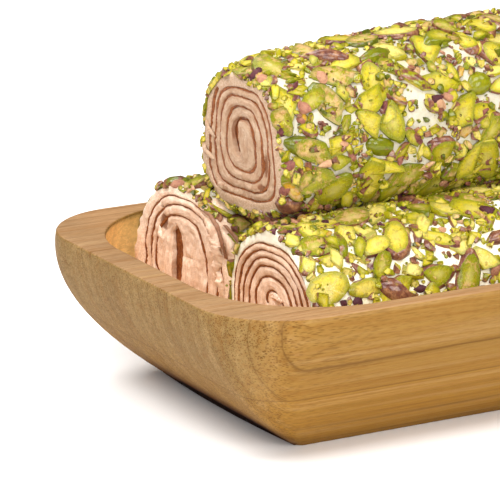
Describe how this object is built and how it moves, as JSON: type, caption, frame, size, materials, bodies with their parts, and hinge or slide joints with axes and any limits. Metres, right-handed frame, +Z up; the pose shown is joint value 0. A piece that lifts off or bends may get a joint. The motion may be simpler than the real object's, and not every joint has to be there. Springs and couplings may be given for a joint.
{
  "type": "turkish delight rolls in a dish",
  "caption": "Stacked nougat rolls with a spiral of chocolate, a white coat covered in chopped pistachios, and a flared rectangular wooden dish.",
  "frame": {"origin": "centre of the dish's flat base, on the surface it stands on", "axes": "+X along the rolls and the dish's long side, +Y towards the back roll, +Z up"},
  "size_m": [0.24, 0.1348, 0.1083],
  "materials": {
    "wood": "satin golden-brown bamboo, long grain on the sides, end grain on the ends",
    "coat": "soft white sugar coat with green pistachio pieces",
    "nougat": "matt pinkish beige nougat",
    "chocolate": "matt brown chocolate spread",
    "pistachio": "matt yellow-green chopped pistachio with purple skin"
  },
  "bodies": {
    "root": {"dish": "wood", "front_coat": "coat", "front_nougat": "nougat", "front_chocolate": "chocolate", "back_coat": "coat", "back_nougat": "nougat", "back_chocolate": "chocolate", "top_coat": "coat", "top_nougat": "nougat", "top_chocolate": "chocolate"}
  },
  "joints": []
}
